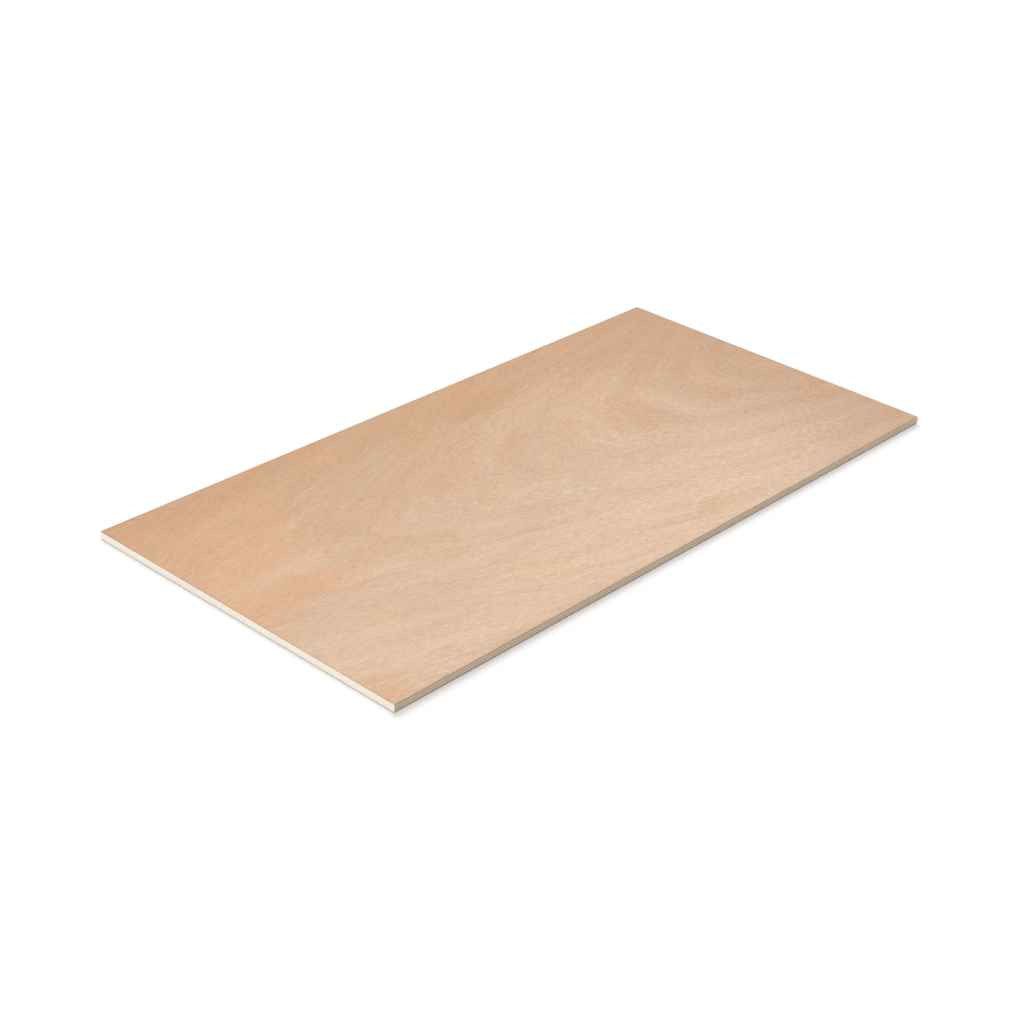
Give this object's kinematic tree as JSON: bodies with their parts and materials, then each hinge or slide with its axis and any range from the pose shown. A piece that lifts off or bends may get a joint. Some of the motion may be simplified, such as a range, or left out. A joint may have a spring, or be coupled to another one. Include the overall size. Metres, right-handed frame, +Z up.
{
  "type": "plywood sheet",
  "caption": "Flat rectangular plywood sheet with a pinkish-tan face veneer and pale cross-laid plies showing on its sawn edges, stock for boarding, shelving and cutting to size.",
  "frame": {"origin": "middle of the underside, which rests on the floor", "axes": "+X along the sheet's length and face grain, +Y across it, +Z up out of the face veneer"},
  "size_m": [1.2, 0.6, 0.012],
  "materials": {
    "face_veneer": "sanded, unfinished light hardwood veneer",
    "back_veneer": "sanded, unfinished light hardwood veneer",
    "crossband": "sawn pale softer wood, grain across the sheet",
    "core_ply": "sawn pale softer wood, grain along the sheet"
  },
  "bodies": {
    "root": {"face_veneer": "face_veneer", "upper_crossband": "crossband", "upper_core_ply": "core_ply", "centre_crossband": "crossband", "lower_core_ply": "core_ply", "lower_crossband": "crossband", "back_veneer": "back_veneer"}
  },
  "joints": []
}
